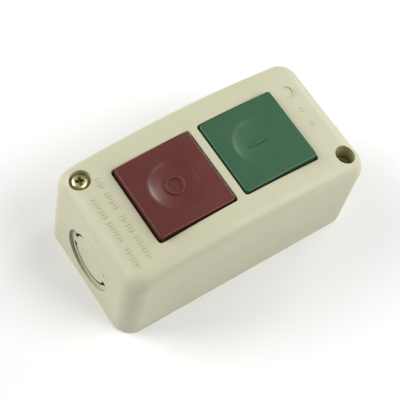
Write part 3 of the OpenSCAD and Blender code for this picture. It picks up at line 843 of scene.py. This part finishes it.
# %% Phenolic and nylon
phenolic = Finish("black_phenolic", Specular_IOR_Level=0.4)
phenolic.color(phenolic.ramp(phenolic.noise(0.7, 5, 0.7),
                             [(0.35, srgb(30, 28, 26)), (0.60, srgb(38, 35, 32)),
                              (0.75, srgb(58, 54, 48))]))
phenolic.roughness(phenolic.span(phenolic.noise(3, 4), 0.42, 0.62))
phenolic.bump([(phenolic.noise(0.6, 3), 0.02)])
nylon = Finish("natural_nylon", Specular_IOR_Level=0.4)
nylon.color(nylon.ramp(nylon.noise(7, 4), [(0.3, srgb(208, 199, 172)), (0.7, srgb(196, 185, 156))]))
nylon.roughness(nylon.span(nylon.noise(2, 3), 0.36, 0.5))
nylon.bump([(nylon.noise(0.5, 2), 0.01)])
node = frame["nodes"]
phenolic.wear(node["base"])
nylon.wear(node["guide_frame"], node["contact_carriage"])
print("inside plastics ready")

# %% [markdown]
# ### Metals
# Yellow zinc plating is a thin film over steel, so its colour wanders between
# shades of pale straw, and shade is painted dark olive into the cross recess.
# Brass strip shows the lines of rolling, spring wire the lines of drawing, and
# contact tips are plain silver with a dull bloom.

# %% Zinc, brass, steel and silver
def metal(name, low, high, rough_low, rough_high, stretch=(1, 1, 1), size=1.2):
    """A plated or rolled metal, with its noise drawn out along one axis by stretch."""
    finish = Finish(name, Metallic=1.0)
    mapping = finish.add("ShaderNodeMapping")
    mapping.inputs["Scale"].default_value = stretch
    finish.link(finish.place, mapping.inputs["Vector"])
    unstretched, finish.place = finish.place, mapping.outputs["Vector"]
    finish.skin = finish.ramp(finish.noise(size * 2.5, 3), [(0.32, low), (0.68, high)])
    finish.color(finish.skin)
    finish.roughness(finish.span(finish.noise(size, 4, 0.6), rough_low, rough_high))
    finish.bump([(finish.noise(size / 3, 3), 0.006)])
    finish.place = unstretched
    return finish


zinc = metal("yellow_zinc", srgb(214, 210, 152), srgb(238, 236, 196), 0.24, 0.42)
bright_steel = metal("bright_steel", srgb(176, 178, 180), srgb(205, 206, 208), 0.22, 0.40)
wire = metal("spring_wire", srgb(150, 152, 156), srgb(186, 188, 192), 0.20, 0.34, (1, 1, 4), 0.6)
brass = metal("rolled_brass", srgb(196, 160, 84), srgb(224, 190, 112), 0.20, 0.36, (0.2, 1, 1), 0.8)
silver = metal("silver_tip", srgb(205, 204, 200), srgb(228, 227, 224), 0.26, 0.46)
# Painted shade: the zinc turns dark olive inside each cross recess.
CROSS_SHADE, CROSS_SHADE_R, CROSS_SHADE_D = (0.42, 0.42, 0.22, 1), 1.7 * MM, 0.22 * MM
crosses = [zinc.sum("MULTIPLY", zinc.sum("LESS_THAN", zinc.reach((x, y, 0), (1, 1, 0)), CROSS_SHADE_R),
                    zinc.sum("LESS_THAN", zinc.reach((0, 0, 0), (0, 0, 1)), seat + HEAD_H - CROSS_SHADE_D))
           for x, y, seat in screw_seats]
zinc.color(zinc.mix(zinc.sum("MAXIMUM", *crosses), zinc.skin, CROSS_SHADE, "MULTIPLY"))
zinc.wear(cover_screws, node["terminal_screws"], node["frame_screws"])
bright_steel.wear(node["terminal_clamps"], node["latch_lever"], node["latch_pin"])
wire.wear(node["contact_springs"], *springs)
brass.wear(node["cover_inserts"], *(node[n] for n in sorted(node) if
                                    "terminal_" in n and n[-1].isdigit() or "bridge" in n))
silver.wear(node["fixed_tips"], node["moving_tips"])
print("metals ready")

# %% [markdown]
# ## Floor and light
# A pale floor and an even surround give the plain look of a catalogue. Four
# soft lamps, on the left, on the right, at the side and above, shape the case,
# and each is as strong as its side of the case needs. A small fifth lamp draws
# a crescent in the red dish. It is linked to the red cap and its sign alone,
# because the green dish has no such glint.

# %% Floor
bpy.ops.mesh.primitive_plane_add(size=6, location=(0, 0, 0))
floor = fresh("studio_floor")
paper = Finish("paper_floor", Specular_IOR_Level=0.2)
paper.color(paper.ramp(paper.noise(400, 2), [(0.3, grey(0.84)), (0.7, grey(0.86))]))
paper.shader.inputs["Roughness"].default_value = 0.9
paper.wear(floor)

# %% Surround and lamps
world = bpy.data.worlds.new("studio")
bpy.context.scene.world = world
world.use_nodes = True
world.node_tree.nodes["Background"].inputs["Color"].default_value = (1.0, 1.0, 1.0, 1.0)
world.node_tree.nodes["Background"].inputs["Strength"].default_value = 0.23


LAMP_DISTANCE = 0.9


def lamp(name, toward, size, power):
    """A square soft lamp on the side of the object that toward points to."""
    direction = Vector(toward).normalized()
    bpy.ops.object.light_add(type="AREA", location=aim + direction * LAMP_DISTANCE)
    light = bpy.context.object
    light.name = name
    light.data.size = size
    light.data.energy = power
    light.rotation_euler = direction.to_track_quat("Z", "Y").to_euler()
    return light


lamp("left_softbox", (-0.66, 0.62, 0.42), 0.65, 6.9)
lamp("right_softbox", (0.47, -0.53, 0.70), 0.65, 6.4)
lamp("side_softbox", (0.92, 0.12, 0.38), 0.50, 3.4)
lamp("top_softbox", (-0.45, 0.46, 0.77), 0.50, 1.4)
dish_lamp = lamp("dish_lamp", (0.75, 0.32, 0.58), 0.18, 1.7)
lit_by_dish_lamp = bpy.data.collections.new("lit_by_dish_lamp")
for piece in (off_cap, off_sign):
    lit_by_dish_lamp.objects.link(piece)
dish_lamp.light_linking.receiver_collection = lit_by_dish_lamp
